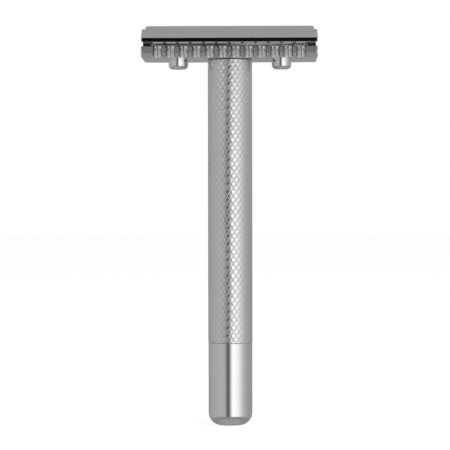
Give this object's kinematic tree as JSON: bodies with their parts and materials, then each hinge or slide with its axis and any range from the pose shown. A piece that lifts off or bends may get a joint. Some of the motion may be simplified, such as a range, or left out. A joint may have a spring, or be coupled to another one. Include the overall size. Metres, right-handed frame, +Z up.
{
  "type": "safety razor",
  "caption": "Double-edge safety razor: a cap and a notched guard plate clamp a bent blade on a knurled handle with a smooth rounded end.",
  "frame": {"origin": "centre of the flat disc at the lower end of the handle, which the razor stands on", "axes": "+Z up the handle towards the head, +X along the head, +Y across the head from front to back"},
  "size_m": [0.043, 0.023, 0.0981],
  "materials": {
    "grip_steel": "satin diamond knurl",
    "end_steel": "satin",
    "bush_brass": "machined",
    "head_chrome": "polished",
    "blade_steel": "ground and polished edges",
    "stud_steel": "machined thread",
    "post_chrome": "polished"
  },
  "bodies": {
    "handle": {"handle_grip": "grip_steel", "handle_end": "end_steel", "threaded_bush": "bush_brass"},
    "plate": {"guard_plate": "head_chrome"},
    "blade": {"blade": "blade_steel"},
    "cap": {"top_cap": "head_chrome", "threaded_stud": "stud_steel", "alignment_post_left": "post_chrome", "alignment_post_right": "post_chrome"}
  },
  "joints": [
    {"name": "head_turn", "type": "hinge", "parent": "handle", "child": "plate", "pos_m": [0, 0, 0.0898], "axis": [0, 0, 1], "range_deg": [0, 5400]},
    {"name": "cap_rise", "type": "slide", "parent": "plate", "child": "cap", "axis": [0, 0, 1], "range_m": [0, 0.012]},
    {"name": "blade_rise", "type": "slide", "parent": "plate", "child": "blade", "axis": [0, 0, 1], "range_m": [0, 0.006]}
  ],
  "couplings": [
    {"joint": "cap_rise", "follows": "head_turn", "m_per_rad": 0.00012732},
    {"joint": "blade_rise", "follows": "head_turn", "m_per_rad": 0.00006366}
  ]
}
